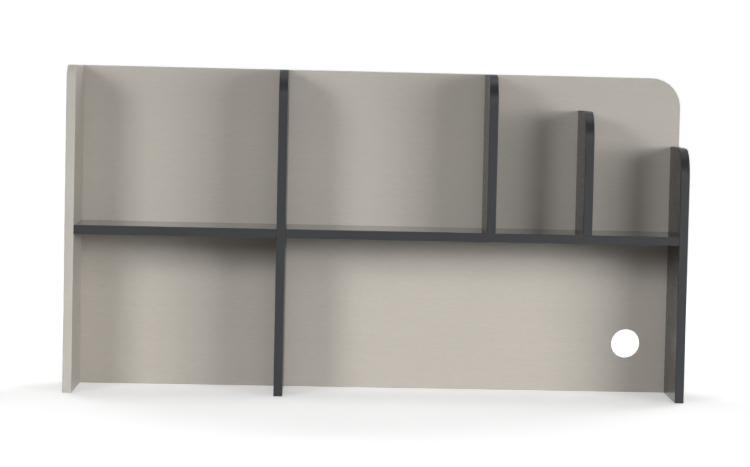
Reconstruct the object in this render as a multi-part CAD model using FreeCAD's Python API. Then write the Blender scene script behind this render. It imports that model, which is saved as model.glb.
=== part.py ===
import FreeCAD, Part
import math
import os

from FreeCAD import Vector

# A desk hutch: a low open shelf unit that stands on a desk top against the wall.
# It is a flat-pack carcass of 18 mm melamine-faced chipboard. Cam locks and wooden dowels join
# the shelves and uprights, and screws through the back panel pull everything square.
# Every separate piece is its own solid, and identical fasteners share one file.
#
# Millimetres. X runs to the right along the desk, Y runs from the front edges to the wall and
# Z is up. The origin is on the desk top, in the middle of the unit's width and depth.

# Overall size
WIDTH = 1240.0
HEIGHT = 650.0
DEPTH = 200.0

# Boards
BOARD = 18.0
CORNER_R = 60.0
SIDE_CORNER_R = 30.0
WIDE_BAY = 400.0
SHELF_TOP = (HEIGHT + BOARD) / 2
STEP_DOWN = 70.0
NARROW_BAY = (WIDTH - 2 * WIDE_BAY - 5 * BOARD) / 2

# Plastic edge band, glued over every edge that shows
BAND = 2.0
ARRIS_R = 1.5

# Cable outlet in the back panel, low in the right-hand corner
OUTLET_R = 30.0
OUTLET_FROM_SIDE = 100.0
OUTLET_HEIGHT = 100.0

# Row of fittings across the depth of each joint, on a 32 mm grid that starts behind the front edge
GRID = 32.0
FIRST_HOLE = 37.0

# Cam locks. The bolt's head enters by the mouth, and its neck turns into the slot.
CAM_R = 7.4
CAM_HOLE_R = 7.5
CAM_LENGTH = 13.0
CAM_HOLE_DEPTH = 13.5
CAM_SETBACK = 34.0
CAM_CAVITY_R = 3.9
CAM_MOUTH_R = 3.6
CAM_SLOT_R = 2.4
CAM_CROSS_LENGTH = 8.0
CAM_CROSS_WIDTH = 1.4
CAM_CROSS_DEPTH = 3.0

# The bolts that the cams pull on
SHANK_R = 3.5
SHANK_LENGTH = 24.0
SHANK_HOLE_R = 4.0
NECK_R = 2.0
BOLT_HEAD_R = 3.3
BOLT_HEAD_LENGTH = 3.0
BOLT_THREAD_R = 2.45
BOLT_CORE_R = 1.9
BOLT_THREAD_LENGTH = 11.0
BOLT_PITCH = 2.2
BOLT_HOLE_R = 2.5
BOLT_HOLE_DEPTH = 12.0

# Wooden dowels
DOWEL_R = 3.9
DOWEL_HOLE_R = 4.0
DOWEL_LENGTH = 30.0
DOWEL_IN_FACE = 12.0
DOWEL_CHAMFER = 1.0
GLUE_GAP = 1.0

# Confirmat screws that hold the back panel
SCREW_LENGTH = 50.0
SCREW_HEAD_R = 5.0
SCREW_HEAD_RIM = 0.8
SCREW_HEAD_LENGTH = 3.0
SCREW_SHANK_R = 3.4
SCREW_SHANK_LENGTH = 15.0
SCREW_CREST_R = 3.4
SCREW_CORE_R = 2.3
SCREW_PITCH = 3.0
SCREW_POINT = 4.0
SCREW_TIP_R = 1.3
SCREW_HOLE_R = 3.5
SCREW_END_SPACE = 2.0
SOCKET_ACROSS_FLATS = 4.0
SOCKET_DEPTH = 4.0
SCREW_MARGIN = 60.0
SCREW_SPACING = 250.0

# Press-in covers, flat with a bevelled rim
SCREW_COVER_R = 6.5
SCREW_COVER_HEIGHT = 1.6
SCREW_PLUG_ACROSS_FLATS = 3.8
SCREW_PLUG_LENGTH = 3.0
CAM_COVER_R = 8.5
CAM_COVER_HEIGHT = 1.2
CAM_PEG_R = 1.6
CAM_PEG_LENGTH = 2.6
COVER_RIM = 0.5
COVER_BEVEL = 1.0

# Blind pilot holes in the feet, for screws that come up through the desk top
PILOT_R = 2.5
PILOT_DEPTH = 50.0

OVERCUT = 1.0
TINY = 0.01

LEFT = -WIDTH / 2
RIGHT = WIDTH / 2
FRONT = -DEPTH / 2
REAR = DEPTH / 2
PANEL_FACE = REAR - BOARD
SHELF_MIDDLE = SHELF_TOP - BOARD / 2

X_AXIS = Vector(1, 0, 0)
Y_AXIS = Vector(0, 1, 0)
Z_AXIS = Vector(0, 0, 1)

BOLT_ROWS = (FRONT + FIRST_HOLE, FRONT + FIRST_HOLE + 3 * GRID)
DOWEL_ROWS = (FRONT + FIRST_HOLE + GRID, FRONT + FIRST_HOLE + 2 * GRID)


class Upright:
    """An upright board: the x of its left face, its foot and top heights, and its front corner."""

    def __init__(self, x, foot, top, corner_r=CORNER_R):
        self.x = x
        self.middle = x + BOARD / 2
        self.right = x + BOARD
        self.foot = foot
        self.top = top
        self.corner_r = corner_r


MAIN_X = LEFT + BOARD + WIDE_BAY
TALL_X = MAIN_X + BOARD + WIDE_BAY
SHORT_X = TALL_X + BOARD + NARROW_BAY

UPRIGHTS = {
    "left_side_panel": Upright(LEFT, 0.0, HEIGHT, SIDE_CORNER_R),
    "main_divider": Upright(MAIN_X, 0.0, HEIGHT),
    "tall_divider": Upright(TALL_X, SHELF_TOP, HEIGHT),
    "short_divider": Upright(SHORT_X, SHELF_TOP, HEIGHT - STEP_DOWN),
    "right_end_panel": Upright(RIGHT - BOARD, 0.0, HEIGHT - 2 * STEP_DOWN),
}

# Each shelf runs between the facing sides of two uprights.
SHELVES = {
    "left_shelf": ("left_side_panel", "main_divider"),
    "right_shelf": ("main_divider", "right_end_panel"),
}


# Shapes that many pieces share


def cylinder(radius, start, end):
    """A cylinder about the Z axis between two heights."""
    return Part.makeCylinder(radius, end - start, Vector(0, 0, start))


def hexagon_bar(across_flats, start, end):
    """A hexagonal bar about the Z axis between two heights."""
    corner_r = across_flats / 2 / math.cos(math.pi / 6)
    corners = []
    for i in range(7):
        angle = i * math.pi / 3
        corners.append(Vector(corner_r * math.cos(angle), corner_r * math.sin(angle), start))
    return Part.Face(Part.makePolygon(corners)).extrude(Z_AXIS * (end - start))


def turned(outline):
    """A solid turned about the Z axis from (radius, height) points, which the axis closes."""
    low = outline[0][1]
    high = outline[-1][1]
    points = [Vector(0, 0, low)]
    for radius, height in outline:
        points.append(Vector(radius, 0, height))
    points += [Vector(0, 0, high), Vector(0, 0, low)]
    return Part.Face(Part.makePolygon(points)).revolve(Vector(0, 0, 0), Z_AXIS, 360)


def thread_rings(core_r, crest_r, start, end, pitch):
    """Outline points of a thread from start towards end, as rings instead of a helix."""
    points = []
    for i in range(int(abs(end - start) / pitch)):
        step = math.copysign(pitch, end - start)
        points.append((core_r, start + i * step))
        points.append((crest_r, start + (i + 0.5) * step))
    points.append((core_r, end))
    return points


def cover_disc(radius, height):
    """A disc on the plane z = 0, with its top edge bevelled in two steps."""
    middle = (COVER_RIM + 2 * height) / 3
    return turned([
        (radius, 0),
        (radius, COVER_RIM),
        (radius - COVER_BEVEL / 3, middle),
        (radius - COVER_BEVEL, height),
    ])


def placed(shape, point, up, side=None):
    """A copy whose origin is at point and whose Z axis points along up, and X axis along side."""
    if side is None:
        side = Y_AXIS if abs(up.y) < 0.5 else X_AXIS
    turn = FreeCAD.Rotation(side, up.cross(side), up, "ZXY")
    copy = shape.copy()
    copy.Placement = FreeCAD.Placement(point, turn)
    return copy


def rounded_board(foot, along, length, height, radius, through):
    """An upright slab with one rounded top corner, above foot. It runs from foot along a unit vector."""

    def at(distance, rise):
        return foot + along * distance + Z_AXIS * rise

    bend = radius * (1 - math.sqrt(0.5))
    edges = [
        Part.makeLine(at(0, 0), at(0, height - radius)),
        Part.Arc(at(0, height - radius), at(bend, height - bend), at(radius, height)).toShape(),
        Part.makeLine(at(radius, height), at(length, height)),
        Part.makeLine(at(length, height), at(length, 0)),
        Part.makeLine(at(length, 0), at(0, 0)),
    ]
    return Part.Face(Part.Wire(edges)).extrude(through)


def softened(slab, chosen):
    """The slab with a small radius on each edge for which chosen(middle of the edge) is true."""
    return slab.makeFillet(ARRIS_R, [edge for edge in slab.Edges if chosen(edge)])


def runs_along(edge, direction):
    """Whether an edge's two ends are apart along a direction."""
    ends = edge.Vertexes
    return abs((ends[-1].Point - ends[0].Point).dot(direction)) > TINY


# Boards and edge bands


def upright_slab(upright, inset):
    """An upright's side outline, drawn in by inset along its front and top edges."""
    foot = Vector(upright.x, FRONT + inset, upright.foot)
    length = PANEL_FACE - FRONT - inset
    height = upright.top - upright.foot - inset
    return rounded_board(foot, Y_AXIS, length, height, upright.corner_r - inset, X_AXIS * BOARD)


def upright_band(upright):
    """One strip that runs up the front edge, round the corner and along the top."""

    def on_banded_edge(edge):
        middle = edge.CenterOfMass
        if runs_along(edge, X_AXIS):
            return False
        return middle.y < PANEL_FACE - TINY and middle.z > upright.foot + TINY

    return softened(upright_slab(upright, 0), on_banded_edge).cut(upright_slab(upright, BAND))


def back_slab(inset, far_inset):
    """The back panel's outline, drawn in along its right and top edges, and along its left edge."""
    foot = Vector(RIGHT - inset, PANEL_FACE, 0)
    length = WIDTH - inset - far_inset
    return rounded_board(foot, -X_AXIS, length, HEIGHT - inset, CORNER_R - inset, Y_AXIS * BOARD)


def back_top_band():
    """One strip that runs up the right edge, round the corner and along the top."""

    def on_banded_edge(edge):
        middle = edge.CenterOfMass
        if runs_along(edge, Y_AXIS):
            return False
        return middle.x > LEFT + TINY and middle.z > TINY

    return softened(back_slab(0, 0), on_banded_edge).cut(back_slab(BAND, 0))


def back_left_band():
    """A straight strip up the left edge, under the end of the top strip."""

    def on_outer_edge(edge):
        return runs_along(edge, Z_AXIS) and edge.CenterOfMass.x < LEFT + TINY

    strip = Part.makeBox(BAND, BOARD, HEIGHT - BAND, Vector(LEFT, PANEL_FACE, 0))
    return softened(strip, on_outer_edge)


def shelf_ends(name):
    """The x of a shelf's left and right ends."""
    left, right = SHELVES[name]
    return UPRIGHTS[left].right, UPRIGHTS[right].x


def shelf_board(name):
    """A shelf between two uprights, short of its front band."""
    start, end = shelf_ends(name)
    corner = Vector(start, FRONT + BAND, SHELF_TOP - BOARD)
    return Part.makeBox(end - start, PANEL_FACE - FRONT - BAND, BOARD, corner)


def shelf_band(name):
    """A straight strip along a shelf's front edge."""

    def on_front_edge(edge):
        return runs_along(edge, X_AXIS) and edge.CenterOfMass.y < FRONT + TINY

    start, end = shelf_ends(name)
    strip = Part.makeBox(end - start, BAND, BOARD, Vector(start, FRONT, SHELF_TOP - BOARD))
    return softened(strip, on_front_edge)


# Fasteners, each made about the Z axis


def cross_arm(along_x, along_y):
    """One arm of the driver's cross in a cam's open face."""
    corner = Vector(-along_x / 2, -along_y / 2, -CAM_CROSS_DEPTH)
    return Part.makeBox(along_x, along_y, CAM_CROSS_DEPTH + OVERCUT, corner)


def cam_lock():
    """A cam whose open face is at z = 0, turned shut on a bolt head that came in along +X."""
    bolt_line = Vector(0, 0, -BOARD / 2)
    body = cylinder(CAM_R, -CAM_LENGTH, 0)
    cavity = placed(cylinder(CAM_CAVITY_R, -CAM_CAVITY_R, CAM_CAVITY_R), bolt_line, X_AXIS)
    slot = placed(cylinder(CAM_SLOT_R, 0, CAM_HOLE_R), bolt_line, X_AXIS)
    mouth = placed(cylinder(CAM_MOUTH_R, 0, CAM_HOLE_R), bolt_line, Y_AXIS)
    peg_hole = cylinder(CAM_PEG_R + TINY, -CAM_CROSS_DEPTH, OVERCUT)
    one_arm = cross_arm(CAM_CROSS_LENGTH, CAM_CROSS_WIDTH)
    other_arm = cross_arm(CAM_CROSS_WIDTH, CAM_CROSS_LENGTH)
    return body.cut([cavity, slot, mouth, peg_hole, one_arm, other_arm])


def bolt_shank(start):
    """Outline points of the end that a cam grips, from a shank that starts at a height."""
    neck_start = start + SHANK_LENGTH
    head_end = start + CAM_SETBACK
    head_start = head_end - BOLT_HEAD_LENGTH
    return [
        (SHANK_R, start),
        (SHANK_R, neck_start),
        (NECK_R, neck_start + SHANK_R - NECK_R),
        (NECK_R, head_start),
        (BOLT_HEAD_R, head_start),
        (BOLT_HEAD_R, head_end),
    ]


def cam_bolt():
    """A bolt whose thread is below z = 0, in a board's face, and whose shank is above it."""
    thread = thread_rings(BOLT_CORE_R, BOLT_THREAD_R, -BOLT_THREAD_LENGTH, 0, BOLT_PITCH)
    return turned(thread + bolt_shank(0))


def double_cam_bolt():
    """A bolt with a cam end each way, which passes through the middle of a board."""
    upper = bolt_shank(BOARD / 2)
    lower = [(radius, -height) for radius, height in reversed(upper)]
    return turned(lower + upper)


def dowel(below, above):
    """A dowel with chamfered ends, this far below and above the joint at z = 0."""
    return turned([
        (DOWEL_R - DOWEL_CHAMFER, -below),
        (DOWEL_R, DOWEL_CHAMFER - below),
        (DOWEL_R, above - DOWEL_CHAMFER),
        (DOWEL_R - DOWEL_CHAMFER, above),
    ])


def confirmat_screw():
    """A screw with its head's flat end at z = 0 and its tip below."""
    thread_end = SCREW_POINT - SCREW_LENGTH
    outline = [(SCREW_TIP_R, -SCREW_LENGTH), (SCREW_CORE_R, thread_end - TINY)]
    outline += thread_rings(SCREW_CORE_R, SCREW_CREST_R, thread_end, -SCREW_SHANK_LENGTH, SCREW_PITCH)
    outline += [
        (SCREW_SHANK_R, -SCREW_SHANK_LENGTH),
        (SCREW_SHANK_R, -SCREW_HEAD_LENGTH),
        (SCREW_HEAD_R, -SCREW_HEAD_RIM),
        (SCREW_HEAD_R, 0),
    ]
    return turned(outline).cut(hexagon_bar(SOCKET_ACROSS_FLATS, -SOCKET_DEPTH, OVERCUT))


def screw_cover():
    """A cover on z = 0 with a hexagonal plug for a screw's socket."""
    plug = hexagon_bar(SCREW_PLUG_ACROSS_FLATS, -SCREW_PLUG_LENGTH, TINY)
    return cover_disc(SCREW_COVER_R, SCREW_COVER_HEIGHT).fuse(plug)


def cam_cover():
    """A cover on z = 0 with a peg for the middle of a cam."""
    peg = cylinder(CAM_PEG_R, -CAM_PEG_LENGTH, TINY)
    return cover_disc(CAM_COVER_R, CAM_COVER_HEIGHT).fuse(peg)


# Holes, each made about the Z axis like the fastener it takes


def screw_hole():
    """A countersunk hole for a screw whose head's flat end is at z = 0."""
    play = SCREW_HOLE_R - SCREW_SHANK_R
    sink = turned([
        (SCREW_HOLE_R, -SCREW_HEAD_LENGTH),
        (SCREW_HEAD_R + play, -SCREW_HEAD_RIM),
        (SCREW_HEAD_R + play, OVERCUT),
    ])
    return sink.fuse(cylinder(SCREW_HOLE_R, -SCREW_LENGTH - SCREW_END_SPACE, -SCREW_HEAD_LENGTH))


# The assembly: each function adds fasteners to groups, and the holes they need to boards


class Assembly:
    """Fasteners by group name, and the holes to cut in each board by board name."""

    def __init__(self):
        self.fasteners = {}
        self.holes = {}

    def add(self, group, shape):
        self.fasteners.setdefault(group, []).append(shape)

    def cut(self, board, shape):
        self.holes.setdefault(board, []).append(shape)


def add_cam(assembly, board, joint, inward, cam_face):
    """A cam and its cover in a board. The joint is at the board's end and inward points into it."""
    centre = joint + inward * CAM_SETBACK + cam_face * (BOARD / 2)
    assembly.add("cam_locks", placed(cam_lock(), centre, cam_face, -inward))
    assembly.add("cam_covers", placed(cam_cover(), centre, cam_face))
    assembly.cut(board, placed(cylinder(CAM_HOLE_R, -CAM_HOLE_DEPTH, OVERCUT), centre, cam_face))
    assembly.cut(board, placed(cylinder(SHANK_HOLE_R, -OVERCUT, CAM_SETBACK), joint, inward))


def add_end_joint(assembly, board, neighbour, x, z, inward, cam_face):
    """A board's end on a neighbour's face: two cam bolts and two dowels across the depth."""
    for y in BOLT_ROWS:
        joint = Vector(x, y, z)
        add_cam(assembly, board, joint, inward, cam_face)
        assembly.add("cam_bolts", placed(cam_bolt(), joint, inward))
        hole = cylinder(BOLT_HOLE_R, -BOLT_HOLE_DEPTH, OVERCUT)
        assembly.cut(neighbour, placed(hole, joint, inward))
    in_end = DOWEL_LENGTH - DOWEL_IN_FACE
    for y in DOWEL_ROWS:
        joint = Vector(x, y, z)
        assembly.add("dowels", placed(dowel(DOWEL_IN_FACE, in_end), joint, inward))
        end_hole = cylinder(DOWEL_HOLE_R, -OVERCUT, in_end + GLUE_GAP)
        face_hole = cylinder(DOWEL_HOLE_R, -DOWEL_IN_FACE - GLUE_GAP, OVERCUT)
        assembly.cut(board, placed(end_hole, joint, inward))
        assembly.cut(neighbour, placed(face_hole, joint, inward))


def add_through_joint(assembly, left_board, right_board, divider):
    """Two shelves that meet on both faces of a divider: bolts and dowels pass through it."""
    upright = UPRIGHTS[divider]
    reach = BOARD / 2 + DOWEL_LENGTH - DOWEL_IN_FACE
    through_hole = cylinder(SHANK_HOLE_R, -BOARD / 2 - OVERCUT, BOARD / 2 + OVERCUT)
    dowel_hole = cylinder(DOWEL_HOLE_R, -reach - GLUE_GAP, reach + GLUE_GAP)
    for y in BOLT_ROWS:
        middle = Vector(upright.middle, y, SHELF_MIDDLE)
        assembly.add("double_cam_bolts", placed(double_cam_bolt(), middle, X_AXIS))
        assembly.cut(divider, placed(through_hole, middle, X_AXIS))
        left_end = Vector(upright.x, y, SHELF_MIDDLE)
        right_end = Vector(upright.right, y, SHELF_MIDDLE)
        add_cam(assembly, left_board, left_end, -X_AXIS, -Z_AXIS)
        add_cam(assembly, right_board, right_end, X_AXIS, -Z_AXIS)
    for y in DOWEL_ROWS:
        middle = Vector(upright.middle, y, SHELF_MIDDLE)
        assembly.add("through_dowels", placed(dowel(reach, reach), middle, X_AXIS))
        for board in (left_board, divider, right_board):
            assembly.cut(board, placed(dowel_hole, middle, X_AXIS))


def spread(start, end):
    """Places for screws between two ends, a margin in from each and no further apart than needed."""
    first = start + SCREW_MARGIN
    last = end - SCREW_MARGIN
    gaps = max(1, round((last - first) / SCREW_SPACING))
    return [first + (last - first) * i / gaps for i in range(gaps + 1)]


def add_back_screws(assembly):
    """Screws with covers, through the back panel into the rear edge of each board."""
    places = []
    for name, upright in UPRIGHTS.items():
        for z in spread(upright.foot, upright.top):
            places.append((name, upright.middle, z))
    for name in SHELVES:
        for x in spread(*shelf_ends(name)):
            places.append((name, x, SHELF_MIDDLE))
    for board, x, z in places:
        head = Vector(x, REAR, z)
        assembly.add("back_panel_screws", placed(confirmat_screw(), head, Y_AXIS))
        assembly.add("screw_covers", placed(screw_cover(), head, Y_AXIS))
        assembly.cut(board, placed(screw_hole(), head, Y_AXIS))
        assembly.cut("back_panel", placed(screw_hole(), head, Y_AXIS))


def add_desk_pilots(assembly):
    """Blind holes up into each foot that stands on the desk top."""
    for name, upright in UPRIGHTS.items():
        if upright.foot > 0:
            continue
        for y in BOLT_ROWS:
            foot = Vector(upright.middle, y, 0)
            assembly.cut(name, placed(cylinder(PILOT_R, -OVERCUT, PILOT_DEPTH), foot, Z_AXIS))


def assembled():
    """All the joints of the carcass."""
    assembly = Assembly()
    left_end, _ = shelf_ends("left_shelf")
    _, right_end = shelf_ends("right_shelf")
    add_end_joint(
        assembly, "left_shelf", "left_side_panel", left_end, SHELF_MIDDLE, X_AXIS, -Z_AXIS
    )
    add_through_joint(assembly, "left_shelf", "right_shelf", "main_divider")
    add_end_joint(
        assembly, "right_shelf", "right_end_panel", right_end, SHELF_MIDDLE, -X_AXIS, -Z_AXIS
    )
    for name in ("tall_divider", "short_divider"):
        upright = UPRIGHTS[name]
        add_end_joint(
            assembly, name, "right_shelf", upright.middle, SHELF_TOP, Z_AXIS, X_AXIS
        )
    add_back_screws(assembly)
    add_desk_pilots(assembly)
    outlet = Vector(RIGHT - OUTLET_FROM_SIDE, PANEL_FACE, OUTLET_HEIGHT)
    assembly.cut("back_panel", placed(cylinder(OUTLET_R, -OVERCUT, BOARD + OVERCUT), outlet, Y_AXIS))
    return assembly


def pieces():
    """Every node's shape by name."""
    assembly = assembled()
    boards = {"back_panel": back_slab(BAND, BAND)}
    nodes = {"back_panel_top_band": back_top_band(), "back_panel_left_band": back_left_band()}
    for name, upright in UPRIGHTS.items():
        boards[name] = upright_slab(upright, BAND)
        nodes[name + "_band"] = upright_band(upright)
    for name in SHELVES:
        boards[name] = shelf_board(name)
        nodes[name + "_band"] = shelf_band(name)
    for name, board in boards.items():
        nodes[name] = board.cut(assembly.holes[name])
    for name, shapes in assembly.fasteners.items():
        nodes[name] = Part.makeCompound(shapes)
    return nodes


os.makedirs("parts", exist_ok=True)
for name, shape in pieces().items():
    shape.exportStep("parts/" + name + ".step")
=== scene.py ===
import math
from collections import namedtuple

import bpy
from mathutils import Matrix, Vector


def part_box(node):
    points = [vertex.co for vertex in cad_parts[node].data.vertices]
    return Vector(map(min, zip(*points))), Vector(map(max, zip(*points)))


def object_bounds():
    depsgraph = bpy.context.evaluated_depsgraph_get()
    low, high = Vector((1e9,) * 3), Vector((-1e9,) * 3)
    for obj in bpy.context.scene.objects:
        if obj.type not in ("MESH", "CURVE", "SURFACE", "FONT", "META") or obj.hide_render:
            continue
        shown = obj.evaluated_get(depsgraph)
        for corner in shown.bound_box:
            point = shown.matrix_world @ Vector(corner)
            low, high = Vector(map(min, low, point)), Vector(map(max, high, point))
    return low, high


# A desk hutch of melamine-faced chipboard: beige back and left side, anthracite shelf and dividers.
# The CAD nodes keep their shapes. This script gives each one its material, and adds the studio.

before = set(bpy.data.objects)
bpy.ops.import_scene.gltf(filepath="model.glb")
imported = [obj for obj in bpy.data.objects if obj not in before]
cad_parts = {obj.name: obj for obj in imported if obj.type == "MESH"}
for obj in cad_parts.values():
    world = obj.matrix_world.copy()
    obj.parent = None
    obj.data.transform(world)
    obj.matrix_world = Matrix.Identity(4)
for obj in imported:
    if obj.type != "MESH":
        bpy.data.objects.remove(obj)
cad_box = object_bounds()
LOW, HIGH = cad_box
MIDDLE = (LOW + HIGH) / 2
MM = 0.001

# A laminate's face colour, how far its fine grain strays from it, its edge band's colour, and the
# colour of the band's scraped edges. Colours are linear.
Laminate = namedtuple("Laminate", "face grain band worn")
BEIGE = Laminate((0.495, 0.460, 0.412), 0.05, (0.530, 0.500, 0.455), (0.620, 0.595, 0.550))
ANTHRACITE = Laminate((0.030, 0.028, 0.026), 0.20, (0.012, 0.0135, 0.0165), (0.045, 0.046, 0.050))
CHIP_DARK = (0.235, 0.135, 0.065)
CHIP_MIDDLE = (0.430, 0.285, 0.160)
CHIP_LIGHT = (0.640, 0.480, 0.310)
ZINC = (0.560, 0.560, 0.575)
PLATED_STEEL = (0.640, 0.610, 0.540)
BEECH_DARK = (0.430, 0.270, 0.145)
BEECH_LIGHT = (0.640, 0.450, 0.280)
WHITE = (1.0, 1.0, 1.0)

# Roughness of a board's faces
MATTE = 0.44
SATIN = 0.27
GLOSSY = 0.09

# Specular level of the bands, where 0.5 is that of most plastics
BAND_SHINE = 0.44

# What the studio's paper sends back to the hutch, and how brightly the paper and the air glow:
# to the camera by the hutch and far from it, then to reflections by the hutch and in the open air
DESK_BOUNCE = (0.200, 0.187, 0.170)
FLOOR_GLOW = 0.32
BACKDROP_GLOW = 0.97
NEAR_MIRROR_GLOW = 0.45
ROOM_GLOW = 0.20

# How far every softbox stands from the middle of the hutch, and the angle of its grid in degrees.
# The front ones are aimed low, so that their light falls off upwards.
LIGHT_DISTANCE = 4.5
GRID_ANGLE = 60
LOW_AIM = Vector((-0.05, HIGH.y, -0.30))

# Thickness of the melamine paper where a sawn edge shows it
PAPER_THICKNESS = 0.25 * MM

# The way through a board, from face to face, or the way that its grain runs
THROUGH_X = Vector((1, 0, 0))
THROUGH_Y = Vector((0, 1, 0))
THROUGH_Z = Vector((0, 0, 1))


# Node helpers


class Shader:
    """A material with one Principled shader, and short calls for the nodes that feed it."""

    def __init__(self, name):
        self.material = bpy.data.materials.new(name)
        self.material.use_nodes = True
        self.tree = self.material.node_tree
        self.principled = self.tree.nodes["Principled BSDF"]
        self.place = self.node("ShaderNodeTexCoord").outputs["Object"]

    def node(self, kind, **settings):
        node = self.tree.nodes.new(kind)
        for key, value in settings.items():
            setattr(node, key, value)
        return node

    def feed(self, socket, value):
        """Links a socket to an output, or sets it to a number, a colour or a vector."""
        if isinstance(value, bpy.types.NodeSocket):
            self.tree.links.new(value, socket)
        elif isinstance(value, tuple) and socket.type == "RGBA":
            socket.default_value = (*value, 1.0)
        else:
            socket.default_value = value

    def math(self, operation, first, second=0.0):
        node = self.node("ShaderNodeMath", operation=operation)
        self.feed(node.inputs[0], first)
        self.feed(node.inputs[1], second)
        return node.outputs[0]

    def vector(self, operation, first, second):
        node = self.node("ShaderNodeVectorMath", operation=operation)
        self.feed(node.inputs[0], first)
        self.feed(node.inputs[1], second)
        return node.outputs["Value" if operation in ("DOT_PRODUCT", "DISTANCE") else "Vector"]

    def noise(self, stretch, detail=2.0, roughness=0.5):
        """Noise from 0 to 1. stretch is how many features there are per metre along X, Y and Z."""
        node = self.node("ShaderNodeTexNoise")
        self.feed(node.inputs["Vector"], self.vector("MULTIPLY", self.place, stretch))
        self.feed(node.inputs["Scale"], 1.0)
        self.feed(node.inputs["Detail"], detail)
        self.feed(node.inputs["Roughness"], roughness)
        return node.outputs["Fac"]

    def cells(self, stretch, output="Distance"):
        """Cells like flakes: the distance to a cell's middle, or a colour for each cell."""
        node = self.node("ShaderNodeTexVoronoi")
        self.feed(node.inputs["Vector"], self.vector("MULTIPLY", self.place, stretch))
        self.feed(node.inputs["Scale"], 1.0)
        return node.outputs[output]

    def remap(self, value, low, high, out_low=0.0, out_high=1.0):
        """Value from low to high becomes out_low to out_high, and is held there beyond them."""
        node = self.node("ShaderNodeMapRange", interpolation_type="SMOOTHSTEP")
        self.feed(node.inputs["Value"], value)
        self.feed(node.inputs["From Min"], low)
        self.feed(node.inputs["From Max"], high)
        self.feed(node.inputs["To Min"], out_low)
        self.feed(node.inputs["To Max"], out_high)
        return node.outputs["Result"]

    def blend(self, share, first, second, kind="RGBA"):
        """A mix that is all first at share 0 and all second at share 1: RGBA, FLOAT or VECTOR."""
        node = self.node("ShaderNodeMix", data_type=kind)
        self.feed(node.inputs["Factor"], share)
        self.feed(node.inputs["A"], first)
        self.feed(node.inputs["B"], second)
        return node.outputs["Result"]

    def scaled(self, colour, amount):
        """A colour times a number."""
        three = self.node("ShaderNodeCombineXYZ")
        for socket in three.inputs:
            self.feed(socket, amount)
        if isinstance(colour, tuple):
            colour = Vector(colour)
        return self.vector("MULTIPLY", colour, three.outputs[0])

    def across(self, direction):
        """How squarely a face looks along a direction, from 0 to 1."""
        normal = self.node("ShaderNodeNewGeometry").outputs["True Normal"]
        return self.math("ABSOLUTE", self.vector("DOT_PRODUCT", normal, direction))

    def bump(self, height, distance, strength, below=None):
        """Relief in metres from a height of 0 to 1, on top of the relief below it, if any."""
        node = self.node("ShaderNodeBump")
        self.feed(node.inputs["Height"], height)
        self.feed(node.inputs["Distance"], distance)
        self.feed(node.inputs["Strength"], strength)
        if below is not None:
            self.feed(node.inputs["Normal"], below)
        return node.outputs["Normal"]

    def finish(self, colour, roughness, normal=None, metallic=0.0):
        self.feed(self.principled.inputs["Base Color"], colour)
        self.feed(self.principled.inputs["Roughness"], roughness)
        self.feed(self.principled.inputs["Metallic"], metallic)
        if normal is not None:
            self.feed(self.principled.inputs["Normal"], normal)
        return self.material


def stretched(along, per_metre_along, per_metre_across):
    """Features per metre for a pattern that is drawn out along one axis."""
    each = [per_metre_across] * 3
    for i in range(3):
        if abs(along[i]) > 0.5:
            each[i] = per_metre_along
    return Vector(each)


def even(per_metre):
    return Vector((per_metre, per_metre, per_metre))


# Materials


def board_material(node, laminate, face_rough, through, grain):
    """Melamine paper on both faces of a chipboard core, which shows on sawn edges and in holes."""
    shader = Shader(node + "_melamine")
    low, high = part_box(node)

    # Distance from the nearer face decides how fine the chips are, and where the paper ends.
    depth = shader.vector("DOT_PRODUCT", shader.place, through)
    from_low = shader.math("SUBTRACT", depth, low.dot(through))
    from_high = shader.math("SUBTRACT", high.dot(through), depth)
    inside = shader.math("MINIMUM", from_low, from_high)
    on_face = shader.remap(shader.across(through), 0.5, 0.9)
    in_paper = shader.remap(inside, 0.7 * PAPER_THICKNESS, 1.3 * PAPER_THICKNESS, 1.0, 0.0)
    paper = shader.math("MAXIMUM", on_face, in_paper)

    # Chipboard: coarse flakes in the middle and fine ones under the faces
    coarse = shader.cells(even(420), "Color")
    fine = shader.cells(even(1300), "Color")
    layer = shader.remap(inside, 2.5 * MM, 4.5 * MM)
    flake = shader.vector("DOT_PRODUCT", shader.blend(layer, fine, coarse), Vector((0.5, 0.3, 0.2)))
    chips = shader.blend(shader.remap(flake, 0.15, 0.5), CHIP_DARK, CHIP_MIDDLE)
    chips = shader.blend(shader.remap(flake, 0.45, 0.85), chips, CHIP_LIGHT)
    gaps = shader.cells(even(620))
    chips = shader.scaled(chips, shader.remap(gaps, 0.0, 0.35, 0.72, 1.0))

    # Melamine paper: soft streaks along the grain, and fine threads that also vary its roughness
    streaks = shader.noise(stretched(grain, 5, 140), 3.0)
    threads = shader.noise(stretched(grain, 60, 900), 2.0)
    cloud = shader.noise(even(3.5), 2.0)
    tone = shader.remap(streaks, 0.2, 0.8, 0.988, 1.012)
    fine_tone = shader.remap(threads, 0.2, 0.8, 1.0 - laminate.grain, 1.0 + laminate.grain)
    tone = shader.math("MULTIPLY", tone, fine_tone)
    tone = shader.math("MULTIPLY", tone, shader.remap(cloud, 0.3, 0.7, 0.985, 1.015))
    skin = shader.scaled(laminate.face, tone)
    skin_rough = shader.remap(threads, 0.2, 0.8, 1.03 * face_rough, 0.97 * face_rough)

    face_relief = shader.bump(shader.noise(even(1800), 2.0), 0.008 * MM, 0.5)
    face_relief = shader.bump(threads, 0.008 * MM, 0.5, face_relief)
    edge_relief = shader.bump(flake, 0.5 * MM, 0.9)

    colour = shader.blend(paper, chips, skin)
    rough = shader.blend(paper, 0.9, skin_rough, "FLOAT")
    return shader.finish(colour, rough, shader.blend(paper, edge_relief, face_relief, "VECTOR"))


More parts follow.
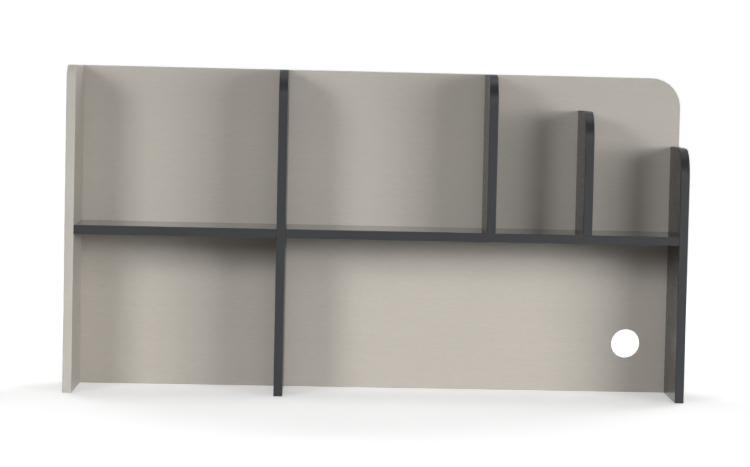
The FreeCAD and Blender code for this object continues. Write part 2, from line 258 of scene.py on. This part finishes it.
def band_material(name, laminate, through):
    """Plastic edge band: a satin strip with a fine fleck, paler and duller along its scraped edges."""
    shader = Shader(name)
    across = shader.across(through)
    edge = shader.math("MULTIPLY", shader.remap(across, 0.15, 0.5),
                       shader.remap(across, 0.8, 0.98, 1.0, 0.0))
    cloud = shader.noise(even(9), 3.0)
    fleck = shader.noise(even(700), 2.0)
    tone = shader.math("MULTIPLY", shader.remap(cloud, 0.3, 0.7, 0.975, 1.025),
                       shader.remap(fleck, 0.2, 0.8, 0.98, 1.02))
    face = shader.scaled(laminate.band, tone)
    wear = shader.remap(shader.noise(even(45), 3.0), 0.35, 0.65, 0.25, 0.8)
    scraped = shader.math("MULTIPLY", edge, wear)
    rough = shader.blend(edge, shader.remap(cloud, 0.3, 0.7, 0.42, 0.50), 0.6, "FLOAT")
    relief = shader.bump(fleck, 0.04 * MM, 0.5)
    shader.feed(shader.principled.inputs["Specular IOR Level"], BAND_SHINE)
    return shader.finish(shader.blend(scraped, face, laminate.worn), rough, relief)


def metal_material(name, colour, rough_low, rough_high, grain, relief):
    """Plated or cast metal with an uneven surface."""
    shader = Shader(name)
    cloud = shader.noise(even(60), 3.0)
    fine = shader.noise(even(grain), 3.0, 0.6)
    tone = shader.math("MULTIPLY", shader.remap(cloud, 0.3, 0.7, 0.88, 1.08),
                       shader.remap(fine, 0.2, 0.8, 0.94, 1.04))
    rough = shader.remap(fine, 0.3, 0.7, rough_low, rough_high)
    return shader.finish(shader.scaled(colour, tone), rough, shader.bump(fine, relief, 0.7), 1.0)


def dowel_material(name, along):
    """Beech turned along its grain, with short dark rays."""
    shader = Shader(name)
    grain = shader.noise(stretched(along, 40, 900), 4.0, 0.6)
    rays = shader.noise(stretched(along, 260, 1500), 1.0)
    wood = shader.blend(shader.remap(grain, 0.3, 0.7), BEECH_DARK, BEECH_LIGHT)
    wood = shader.scaled(wood, shader.remap(rays, 0.58, 0.7, 1.0, 0.78))
    return shader.finish(wood, shader.remap(grain, 0.3, 0.7, 0.75, 0.6), shader.bump(grain, 0.1 * MM, 0.8))


def cover_material(name, colour):
    """Moulded plastic with a fine spark-eroded grain."""
    shader = Shader(name)
    grain = shader.noise(even(2600), 2.0)
    cloud = shader.noise(even(50), 2.0)
    tone = shader.math("MULTIPLY", shader.remap(cloud, 0.3, 0.7, 0.97, 1.03),
                       shader.remap(grain, 0.2, 0.8, 0.97, 1.03))
    return shader.finish(shader.scaled(colour, tone), shader.remap(cloud, 0.3, 0.7, 0.38, 0.48),
                         shader.bump(grain, 0.05 * MM, 0.6))


def dress(node, material):
    """Gives a CAD node its material in every slot."""
    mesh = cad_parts[node].data
    if not mesh.materials:
        mesh.materials.append(material)
    for i in range(len(mesh.materials)):
        mesh.materials[i] = material


# Each board: its laminate, the roughness of its faces, its way through, and the way its grain runs
BOARDS = {
    "back_panel": (BEIGE, MATTE, THROUGH_Y, THROUGH_X),
    "left_side_panel": (BEIGE, MATTE, THROUGH_X, THROUGH_Z),
    "main_divider": (ANTHRACITE, SATIN, THROUGH_X, THROUGH_Z),
    "tall_divider": (ANTHRACITE, SATIN, THROUGH_X, THROUGH_Z),
    "short_divider": (ANTHRACITE, SATIN, THROUGH_X, THROUGH_Z),
    "right_end_panel": (ANTHRACITE, SATIN, THROUGH_X, THROUGH_Z),
    "left_shelf": (ANTHRACITE, GLOSSY, THROUGH_Z, THROUGH_X),
    "right_shelf": (ANTHRACITE, GLOSSY, THROUGH_Z, THROUGH_X),
}
BANDS = {
    "back_panel_top_band": "back_panel",
    "back_panel_left_band": "back_panel",
    "left_side_panel_band": "left_side_panel",
    "main_divider_band": "main_divider",
    "tall_divider_band": "tall_divider",
    "short_divider_band": "short_divider",
    "right_end_panel_band": "right_end_panel",
    "left_shelf_band": "left_shelf",
    "right_shelf_band": "right_shelf",
}


def dress_all():
    for node, (laminate, face_rough, through, grain) in BOARDS.items():
        dress(node, board_material(node, laminate, face_rough, through, grain))
    for node, board in BANDS.items():
        laminate, _, through, _ = BOARDS[board]
        dress(node, band_material(node, laminate, through))
    steel = metal_material("plated_steel", PLATED_STEEL, 0.26, 0.42, 1500, 0.02 * MM)
    for node in ("cam_bolts", "double_cam_bolts", "back_panel_screws"):
        dress(node, steel)
    dress("cam_locks", metal_material("cast_zinc", ZINC, 0.40, 0.58, 900, 0.06 * MM))
    dress("dowels", dowel_material("beech_dowel", THROUGH_X))
    dress("through_dowels", dowel_material("beech_long_dowel", THROUGH_X))
    dress("cam_covers", cover_material("anthracite_cover", ANTHRACITE.band))
    dress("screw_covers", cover_material("beige_cover", BEIGE.band))


# Studio


def studio_material():
    """Pale seamless paper that glows to the camera and to reflections.

    It is clear to a camera and to a light below it, so that the underside can be seen. All other
    light sees a desk top's colour, so that the bounce on the hutch is a desk's.
    """
    shader = Shader("studio_paper")
    path = shader.node("ShaderNodeLightPath")
    to_camera, to_mirror = path.outputs["Is Camera Ray"], path.outputs["Is Glossy Ray"]
    away = shader.vector("DISTANCE", shader.place, Vector((0, 0, 0)))
    behind = shader.vector("DOT_PRODUCT", shader.place, THROUGH_Y)
    floor_glow = shader.remap(away, 0.6, 2.0, FLOOR_GLOW, BACKDROP_GLOW)
    mirror_glow = shader.remap(behind, LOW.y, HIGH.y + 0.6, NEAR_MIRROR_GLOW, BACKDROP_GLOW)
    glow = shader.math("ADD", shader.math("MULTIPLY", to_camera, floor_glow),
                       shader.math("MULTIPLY", to_mirror, mirror_glow))
    mottle = shader.noise(even(2.2), 3.0)
    paper = shader.scaled(WHITE, shader.remap(mottle, 0.3, 0.7, 0.90, 0.92))
    from_below = shader.node("ShaderNodeNewGeometry").outputs["Backfacing"]
    clear = shader.math("MAXIMUM", shader.math("MULTIPLY", to_camera, from_below),
                        path.outputs["Is Shadow Ray"])
    shader.feed(shader.principled.inputs["Alpha"], shader.math("SUBTRACT", 1.0, clear))
    shader.feed(shader.principled.inputs["Emission Color"], WHITE)
    shader.feed(shader.principled.inputs["Emission Strength"], glow)
    seen = shader.math("ADD", to_camera, to_mirror)
    return shader.finish(shader.blend(seen, DESK_BOUNCE, paper), 0.85)


def make_sweep():
    """A floor that curves up into a back wall."""
    half_width, front, back, bend, top = 9.0, -8.0, 6.0, 2.0, 7.0
    bend_steps = 16
    gap_under_hutch = 0.3 * MM
    profile = [(front, 0.0), (back, 0.0)]
    for i in range(1, bend_steps + 1):
        angle = i / bend_steps * math.pi / 2
        profile.append((back + bend * math.sin(angle), bend * (1 - math.cos(angle))))
    profile.append((back + bend, top))
    floor_z = LOW.z - gap_under_hutch
    vertices = []
    for y, z in profile:
        vertices += [(-half_width, y, z + floor_z), (half_width, y, z + floor_z)]
    faces = [(2 * i, 2 * i + 1, 2 * i + 3, 2 * i + 2) for i in range(len(profile) - 1)]
    mesh = bpy.data.meshes.new("studio_sweep")
    mesh.from_pydata(vertices, [], faces)
    mesh.shade_smooth()
    mesh.materials.append(studio_material())
    sweep = bpy.data.objects.new("studio_sweep", mesh)
    bpy.context.scene.collection.objects.link(sweep)


def softbox(name, bearing, elevation, wide, high, power, aim=MIDDLE):
    """An area light with a grid. Bearing is in degrees right of straight ahead of the hutch."""
    turn, rise = math.radians(bearing), math.radians(elevation)
    way = Vector((math.sin(turn) * math.cos(rise), -math.cos(turn) * math.cos(rise), math.sin(rise)))
    light = bpy.data.lights.new(name, "AREA")
    light.shape = "RECTANGLE"
    light.size, light.size_y = wide, high
    light.spread = math.radians(GRID_ANGLE)
    light.energy = power
    lamp = bpy.data.objects.new(name, light)
    lamp.location = MIDDLE + way * LIGHT_DISTANCE
    lamp.rotation_mode = "QUATERNION"
    lamp.rotation_quaternion = (aim - lamp.location).to_track_quat("-Z", "Y")
    lamp.visible_camera = False
    bpy.context.scene.collection.objects.link(lamp)


def studio_world():
    """White to the camera, dim to reflections, and dark to all other light."""
    world = bpy.data.worlds.new("studio_air")
    world.use_nodes = True
    tree = world.node_tree
    background = tree.nodes["Background"]
    background.inputs["Color"].default_value = (*WHITE, 1.0)
    path = tree.nodes.new("ShaderNodeLightPath")
    to_camera = tree.nodes.new("ShaderNodeMath")
    to_camera.operation = "MULTIPLY"
    to_camera.inputs[1].default_value = BACKDROP_GLOW
    tree.links.new(path.outputs["Is Camera Ray"], to_camera.inputs[0])
    with_mirror = tree.nodes.new("ShaderNodeMath")
    with_mirror.operation = "MULTIPLY_ADD"
    with_mirror.inputs[1].default_value = ROOM_GLOW
    tree.links.new(path.outputs["Is Glossy Ray"], with_mirror.inputs[0])
    tree.links.new(to_camera.outputs[0], with_mirror.inputs[2])
    tree.links.new(with_mirror.outputs[0], background.inputs["Strength"])
    return world


def light_studio():
    """Four softboxes in front throw the uprights' shadows on the back panel. The rest are fill."""
    softbox("left_softbox", -34.5, 15, 1.2, 1.2, 9.8, LOW_AIM)
    softbox("right_softbox", 51, 3.5, 1.2, 0.8, 7.5, LOW_AIM)
    softbox("inner_right_softbox", 36, 8.0, 1.4, 0.9, 8.3, LOW_AIM)
    softbox("front_softbox", 0, 20, 2.0, 2.0, 5.8, LOW_AIM)
    softbox("overhead_softbox", 180, 80, 3.0, 3.0, 8.0)
    softbox("rear_left_softbox", -145, 25, 3.2, 2.4, 12.0)
    softbox("rear_right_softbox", 140, 25, 3.2, 2.4, 14.0)
    softbox("underside_softbox", 180, -88, 2.0, 2.0, 4.0)
    bpy.context.scene.world = studio_world()
    bpy.context.scene.view_settings.view_transform = "Standard"


def place_camera():
    """The photograph's viewpoint: level with the hutch's top, a little left of its middle."""
    heading, tilt, roll = math.radians(3.01), math.radians(-3.44), math.radians(1.35)
    level_right = Vector((math.cos(heading), -math.sin(heading), 0))
    ahead = Vector((math.sin(heading), math.cos(heading), 0))
    forward = ahead * math.cos(tilt) + THROUGH_Z * math.sin(tilt)
    level_up = level_right.cross(forward)
    right = level_right * math.cos(roll) + level_up * math.sin(roll)
    up = level_up * math.cos(roll) - level_right * math.sin(roll)
    turn = Matrix((right, up, -forward)).transposed()
    camera = bpy.data.objects.new("camera", bpy.data.cameras.new("camera"))
    camera.data.sensor_width = 36.0
    camera.data.lens = 131.0
    camera.data.shift_x = -0.126
    camera.data.shift_y = 0.006
    camera.location = (-0.103, -5.518, 0.650)
    camera.rotation_mode = "QUATERNION"
    camera.rotation_quaternion = turn.to_quaternion()
    bpy.context.scene.collection.objects.link(camera)
    bpy.context.scene.camera = camera


dress_all()
make_sweep()
light_studio()
place_camera()
